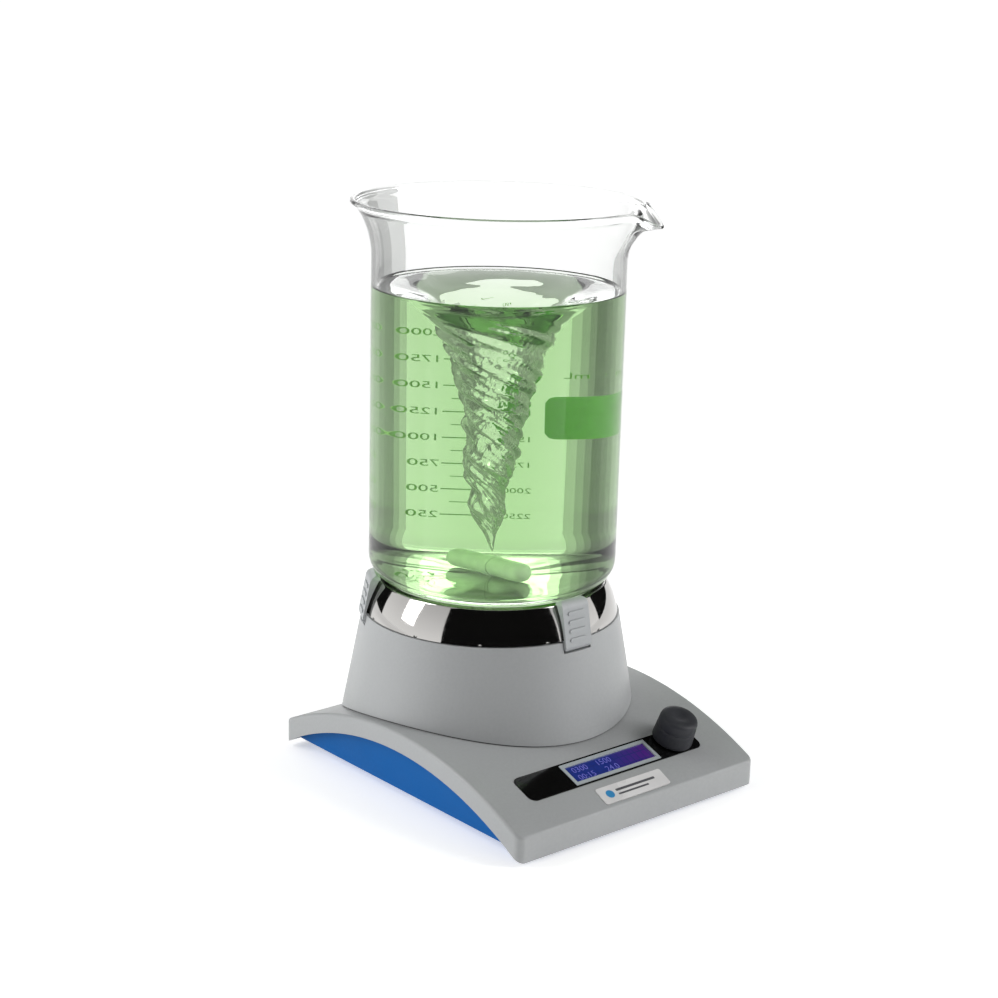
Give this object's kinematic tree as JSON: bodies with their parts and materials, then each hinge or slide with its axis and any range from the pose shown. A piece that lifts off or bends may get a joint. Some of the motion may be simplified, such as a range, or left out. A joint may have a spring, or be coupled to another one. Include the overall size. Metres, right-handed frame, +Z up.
{
  "type": "magnetic stirrer",
  "caption": "Magnetic stirrer with an arched base, tapered drive tower, clipped collar and digital panel, carrying a glass beaker of liquid drawn into a vortex by a loose bar.",
  "frame": {"origin": "on the bench, under the middle of the whole object's outline", "axes": "+Z up, -Y towards the front with the display and the knob, +X to the right seen from the front"},
  "size_m": [0.19, 0.2282, 0.3492],
  "materials": {
    "grey_plastic": "fine satin texture",
    "blue_plastic": "satin",
    "black_rubber": "matte",
    "zinc_steel": "zinc plated",
    "dark_seal": "matte",
    "dark_chrome": "polished dark mirror",
    "white_ceramic": "smooth white",
    "clip_plastic": "fine satin texture",
    "steel_pins": "ground",
    "black_panel": "glossy",
    "bezel_plastic": "satin",
    "screen_glass": "glossy, backlit",
    "green_board": "solder mask",
    "badge_plate": "printed plate, blank",
    "black_plastic": "satin",
    "knob_plastic": "soft touch",
    "bracket_steel": "rolled sheet",
    "motor_steel": "drawn can",
    "copper_windings": "enamelled wire on laminated steel",
    "bearing_steel": "ground",
    "hub_aluminium": "turned",
    "black_steel": "black oxide",
    "carrier_plastic": "moulded",
    "magnet_nickel": "nickel plated",
    "capacitor_sleeve": "sleeve",
    "connector_plastic": "moulded",
    "rocker_plastic": "polished",
    "cable_sleeve": "smooth",
    "ribbon_grey": "smooth",
    "beaker_glass": "clear borosilicate",
    "green_liquid": "clear coloured water",
    "bar_ptfe": "smooth white coating"
  },
  "bodies": {
    "base": {"base_cover": "grey_plastic", "lower_housing": "blue_plastic", "rubber_feet": "black_rubber", "foot_screws": "zinc_steel", "housing_screws": "zinc_steel", "tower_housing": "grey_plastic", "tower_gasket": "dark_seal", "tower_screws": "zinc_steel", "collar_ring": "dark_chrome", "plate_seal": "dark_seal", "top_plate": "white_ceramic", "latch_pins": "steel_pins", "panel_lens": "black_panel", "lcd_bezel": "bezel_plastic", "lcd_screen": "screen_glass", "display_pcb": "green_board", "display_screws": "zinc_steel", "badge": "badge_plate", "encoder_body": "black_plastic", "encoder_nut": "zinc_steel", "motor_bracket": "bracket_steel", "bracket_screws": "zinc_steel", "motor_can": "motor_steel", "motor_end_bell": "black_plastic", "motor_screws": "zinc_steel", "motor_stator": "copper_windings", "bearing_upper": "bearing_steel", "bearing_lower": "bearing_steel", "control_pcb": "green_board", "pcb_screws": "zinc_steel", "heat_sink": "hub_aluminium", "capacitors": "capacitor_sleeve", "board_connectors": "connector_plastic", "dc_jack": "black_plastic", "dc_jack_nut": "zinc_steel", "switch_frame": "black_plastic", "motor_cable": "cable_sleeve", "power_cable": "cable_sleeve", "ribbon_cable": "ribbon_grey"},
    "rotor": {"motor_shaft": "bearing_steel", "motor_rotor_core": "bracket_steel", "rotor_hub": "hub_aluminium", "hub_set_screw": "black_steel", "yoke_plate": "bracket_steel", "magnet_carrier": "carrier_plastic", "drive_magnets": "magnet_nickel", "rotor_screws": "black_steel"},
    "front_clip": {"latch_front": "clip_plastic"},
    "rear_right_clip": {"latch_rear_right": "clip_plastic"},
    "rear_left_clip": {"latch_rear_left": "clip_plastic"},
    "knob_plunger": {"encoder_plunger": "black_plastic"},
    "knob_and_shaft": {"knob": "knob_plastic", "encoder_shaft": "steel_pins"},
    "power_rocker": {"switch_rocker": "rocker_plastic"},
    "beaker_and_liquid": {"beaker": "beaker_glass", "liquid": "green_liquid"},
    "stirring_bar": {"stir_bar": "bar_ptfe", "stir_bar_core": "magnet_nickel"}
  },
  "joints": [
    {"name": "rotor_spin", "type": "hinge", "parent": "base", "child": "rotor", "pos_m": [0, 0.0254, 0.097], "axis": [0, 0, 1], "continuous": true},
    {"name": "beaker_lift", "type": "slide", "parent": "base", "child": "beaker_and_liquid", "axis": [0, 0, 1], "range_m": [0, 0.06]},
    {"name": "stir_spin", "type": "hinge", "parent": "beaker_and_liquid", "child": "stirring_bar", "pos_m": [0, 0.0254, 0.1302], "axis": [0, 0, 1], "continuous": true},
    {"name": "front_clip_pivot", "type": "hinge", "parent": "base", "child": "front_clip", "pos_m": [0, -0.0522, 0.0954], "axis": [1, 0, 0], "range_deg": [0, 30]},
    {"name": "rear_right_clip_pivot", "type": "hinge", "parent": "base", "child": "rear_right_clip", "pos_m": [0.0672, 0.0642, 0.0954], "axis": [-0.5, 0.866, 0], "range_deg": [0, 30]},
    {"name": "rear_left_clip_pivot", "type": "hinge", "parent": "base", "child": "rear_left_clip", "pos_m": [-0.0672, 0.0642, 0.0954], "axis": [-0.5, -0.866, 0], "range_deg": [0, 30]},
    {"name": "knob_push", "type": "slide", "parent": "base", "child": "knob_plunger", "axis": [0, 0.3493, -0.937], "range_m": [0, 0.0005], "stiffness_N_per_m": 800, "springref_m": -0.002},
    {"name": "knob_turn", "type": "hinge", "parent": "knob_plunger", "child": "knob_and_shaft", "pos_m": [0.053, -0.08383, 0.03128], "axis": [0, -0.3493, 0.937], "continuous": true},
    {"name": "power_rocker_tip", "type": "hinge", "parent": "base", "child": "power_rocker", "pos_m": [0.03, 0.1083, 0.0104], "axis": [0, 0, 1], "range_deg": [0, 14]}
  ],
  "couplings": [
    {"joint": "stir_spin", "follows": "rotor_spin", "ratio": 1}
  ]
}
